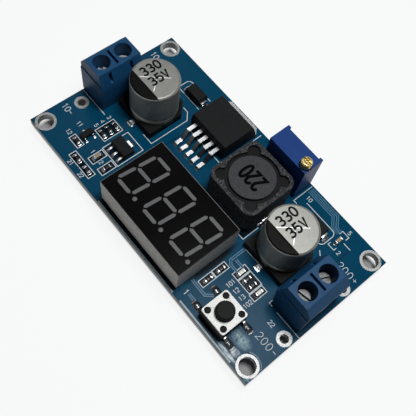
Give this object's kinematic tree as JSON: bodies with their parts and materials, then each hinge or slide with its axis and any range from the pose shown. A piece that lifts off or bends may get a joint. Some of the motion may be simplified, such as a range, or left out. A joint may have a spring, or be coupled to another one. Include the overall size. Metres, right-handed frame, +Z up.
{
  "type": "boost converter module",
  "caption": "Step-up converter board with a voltage display, a screw terminal at each end, can capacitors, a shielded inductor, a push button and an adjusting screw",
  "frame": {"origin": "under the middle of the module, at the level of the clipped pin tips that it stands on", "axes": "+X from the input terminal to the output terminal, +Y from the display edge to the trimmer edge, +Z up out of the component side"},
  "size_m": [0.0662, 0.036, 0.015],
  "materials": {
    "board": "blue solder mask on glass-fibre laminate",
    "tinned": "tin plate",
    "solder": "soft solder",
    "terminal_plastic": "blue moulded plastic",
    "screw_steel": "zinc-plated steel",
    "bronze": "spring bronze",
    "can_aluminium": "lacquered aluminium with a black print on top",
    "black_moulding": "black moulded plastic",
    "package_epoxy": "charcoal moulding compound",
    "ferrite": "sintered ferrite",
    "copper": "enamelled copper wire",
    "sealing_compound": "dark epoxy",
    "trimmer_plastic": "blue moulded plastic",
    "brass": "turned brass",
    "display_plastic": "light grey moulded plastic",
    "display_black": "black face coating",
    "segment_resin": "diffusing resin, unlit",
    "backing_resin": "cast resin",
    "plated_steel": "satin plated steel",
    "resistor_glaze": "black glaze",
    "ceramic": "tan ceramic",
    "lamp_resin": "white moulded lamp"
  },
  "bodies": {
    "module": {"circuit_board": "board", "hole_plating": "tinned", "through_hole_solder": "solder", "input_terminal_housing": "terminal_plastic", "input_terminal_contacts": "tinned", "output_terminal_housing": "terminal_plastic", "output_terminal_contacts": "tinned", "input_capacitor_can": "can_aluminium", "input_capacitor_base": "black_moulding", "input_capacitor_leads": "tinned", "output_capacitor_can": "can_aluminium", "output_capacitor_base": "black_moulding", "output_capacitor_leads": "tinned", "regulator_body": "package_epoxy", "regulator_tab": "tinned", "regulator_leads": "tinned", "inductor_shield": "ferrite", "inductor_core": "ferrite", "inductor_winding": "copper", "inductor_filler": "sealing_compound", "inductor_base": "black_moulding", "inductor_terminals": "tinned", "input_diode_body": "package_epoxy", "input_diode_leads": "tinned", "output_diode_body": "package_epoxy", "output_diode_leads": "tinned", "trimmer_body": "trimmer_plastic", "trimmer_pins": "tinned", "display_housing": "display_plastic", "display_face": "display_black", "display_segments": "segment_resin", "display_backing": "backing_resin", "display_pins": "tinned", "switch_base": "black_moulding", "switch_cover": "plated_steel", "switch_dome": "plated_steel", "switch_leads": "tinned", "supply_body": "package_epoxy", "supply_leads": "tinned", "transistor_body": "package_epoxy", "transistor_leads": "tinned", "controller_body": "package_epoxy", "controller_leads": "tinned", "resistor_bodies": "resistor_glaze", "resistor_ends": "solder", "ceramic_bodies": "ceramic", "ceramic_ends": "solder", "indicator_bodies": "lamp_resin", "indicator_ends": "solder"},
    "input_positive_clamp": {"input_positive_guard": "bronze"},
    "input_positive_screw": {"input_positive_screw": "screw_steel"},
    "input_negative_clamp": {"input_negative_guard": "bronze"},
    "input_negative_screw": {"input_negative_screw": "screw_steel"},
    "output_positive_clamp": {"output_positive_guard": "bronze"},
    "output_positive_screw": {"output_positive_screw": "screw_steel"},
    "output_negative_clamp": {"output_negative_guard": "bronze"},
    "output_negative_screw": {"output_negative_screw": "screw_steel"},
    "trimmer_screw": {"trimmer_screw": "brass"},
    "button": {"switch_button": "black_moulding"}
  },
  "joints": [
    {"name": "input_positive_clamp_lift", "type": "slide", "parent": "module", "child": "input_positive_clamp", "axis": [0, 0, 1], "range_m": [0, 0.0024]},
    {"name": "input_positive_screw_turn", "type": "hinge", "parent": "input_positive_clamp", "child": "input_positive_screw", "pos_m": [-0.0294, 0.0025, 0.0094], "axis": [0, 0, 1], "range_deg": [0, 1920]},
    {"name": "input_negative_clamp_lift", "type": "slide", "parent": "module", "child": "input_negative_clamp", "axis": [0, 0, 1], "range_m": [0, 0.0024]},
    {"name": "input_negative_screw_turn", "type": "hinge", "parent": "input_negative_clamp", "child": "input_negative_screw", "pos_m": [-0.0294, -0.0025, 0.0094], "axis": [0, 0, 1], "range_deg": [0, 1920]},
    {"name": "output_positive_clamp_lift", "type": "slide", "parent": "module", "child": "output_positive_clamp", "axis": [0, 0, 1], "range_m": [0, 0.0024]},
    {"name": "output_positive_screw_turn", "type": "hinge", "parent": "output_positive_clamp", "child": "output_positive_screw", "pos_m": [0.0284, 0.0028, 0.0094], "axis": [0, 0, 1], "range_deg": [0, 1920]},
    {"name": "output_negative_clamp_lift", "type": "slide", "parent": "module", "child": "output_negative_clamp", "axis": [0, 0, 1], "range_m": [0, 0.0024]},
    {"name": "output_negative_screw_turn", "type": "hinge", "parent": "output_negative_clamp", "child": "output_negative_screw", "pos_m": [0.0284, -0.0022, 0.0094], "axis": [0, 0, 1], "range_deg": [0, 1920]},
    {"name": "trimmer_turn", "type": "hinge", "parent": "module", "child": "trimmer_screw", "pos_m": [0.01074, 0.01414, 0.0134], "axis": [0, 0, 1], "continuous": true},
    {"name": "button_press", "type": "slide", "parent": "module", "child": "button", "axis": [0, 0, -1], "range_m": [0, 0.00025], "stiffness_N_per_m": 6000, "deforming": ["switch_dome"]}
  ],
  "couplings": [
    {"joint": "input_positive_screw_turn", "follows": "input_positive_clamp_lift", "rad_per_m": 13963},
    {"joint": "input_negative_screw_turn", "follows": "input_negative_clamp_lift", "rad_per_m": 13963},
    {"joint": "output_positive_screw_turn", "follows": "output_positive_clamp_lift", "rad_per_m": 13963},
    {"joint": "output_negative_screw_turn", "follows": "output_negative_clamp_lift", "rad_per_m": 13963}
  ]
}
